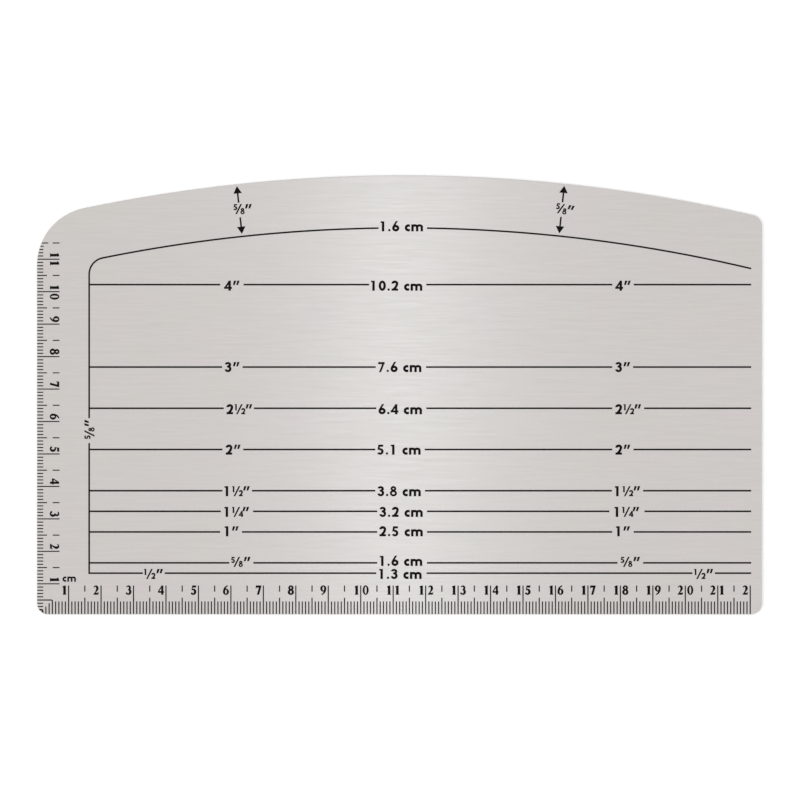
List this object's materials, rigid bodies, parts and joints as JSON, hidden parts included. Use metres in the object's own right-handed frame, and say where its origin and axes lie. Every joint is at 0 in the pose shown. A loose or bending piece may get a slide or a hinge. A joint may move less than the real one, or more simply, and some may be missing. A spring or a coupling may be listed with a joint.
{
  "type": "hem gauge",
  "caption": "Flat aluminium gauge with a curved edge and a large round corner, printed with seam and hem lines and centimetre scales, for measuring and pressing hems.",
  "frame": {"origin": "middle of the sheet's box, on its plain back face", "axes": "+X along the long side, +Y from the straight long edge towards the curved edge, +Z out of the printed face"},
  "size_m": [0.2234, 0.1352, 0.0008],
  "materials": {
    "brushed_aluminium": "fine straight brushed grain along the long side",
    "black_ink": "satin screen-printed enamel ink"
  },
  "bodies": {
    "root": {"sheet": "brushed_aluminium", "seam_line_upper": "black_ink", "seam_line_lower": "black_ink", "seam_line_right": "black_ink", "hem_line_1_2in_inner": "black_ink", "hem_line_1_2in_middle": "black_ink", "hem_line_1_2in_outer": "black_ink", "hem_line_5_8in_inner": "black_ink", "hem_line_5_8in_middle": "black_ink", "hem_line_5_8in_outer": "black_ink", "hem_line_1in_inner": "black_ink", "hem_line_1in_middle": "black_ink", "hem_line_1in_outer": "black_ink", "hem_line_1_1_4in_inner": "black_ink", "hem_line_1_1_4in_middle": "black_ink", "hem_line_1_1_4in_outer": "black_ink", "hem_line_1_1_2in_inner": "black_ink", "hem_line_1_1_2in_middle": "black_ink", "hem_line_1_1_2in_outer": "black_ink", "hem_line_2in_inner": "black_ink", "hem_line_2in_middle": "black_ink", "hem_line_2in_outer": "black_ink", "hem_line_2_1_2in_inner": "black_ink", "hem_line_2_1_2in_middle": "black_ink", "hem_line_2_1_2in_outer": "black_ink", "hem_line_3in_inner": "black_ink", "hem_line_3in_middle": "black_ink", "hem_line_3in_outer": "black_ink", "hem_line_4in_inner": "black_ink", "hem_line_4in_middle": "black_ink", "hem_line_4in_outer": "black_ink", "arrow_left_up": "black_ink", "arrow_left_down": "black_ink", "arrow_right_up": "black_ink", "arrow_right_down": "black_ink"}
  },
  "joints": []
}
